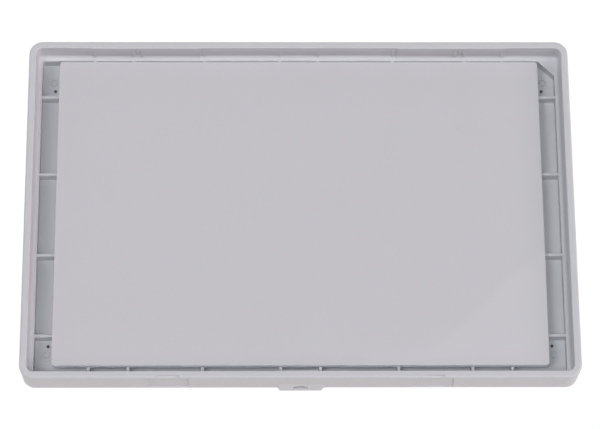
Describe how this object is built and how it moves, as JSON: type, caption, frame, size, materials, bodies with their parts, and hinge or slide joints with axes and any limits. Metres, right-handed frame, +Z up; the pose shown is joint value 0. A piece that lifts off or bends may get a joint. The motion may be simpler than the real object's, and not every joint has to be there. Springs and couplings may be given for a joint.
{
  "type": "wet palette",
  "caption": "Shallow rectangular tray with a ribbed recess that carries a wet sponge and a sheet of palette paper, on rubber feet.",
  "frame": {"origin": "on the table, under the centre of the tray", "axes": "+X to the right along the tray's long side, +Y to the back, away from the catch lug, +Z up"},
  "size_m": [0.343, 0.227, 0.024],
  "materials": {
    "tray_plastic": "pale grey-white moulded plastic with a satin surface",
    "sponge_foam": "fine open-cell sponge, damp",
    "palette_paper": "smooth damp palette paper",
    "foot_rubber": "soft rubber, dark grey"
  },
  "bodies": {
    "tray": {"tray": "tray_plastic", "foot_front_left": "foot_rubber", "foot_front_right": "foot_rubber", "foot_back_left": "foot_rubber", "foot_back_right": "foot_rubber"},
    "sponge": {"sponge": "sponge_foam"},
    "paper": {"palette_paper": "palette_paper"}
  },
  "joints": [
    {"name": "sponge_lift", "type": "slide", "parent": "tray", "child": "sponge", "axis": [0, 0, 1], "range_m": [0, 0.05]},
    {"name": "paper_lift", "type": "slide", "parent": "sponge", "child": "paper", "axis": [0, 0, 1], "range_m": [0, 0.04]}
  ]
}
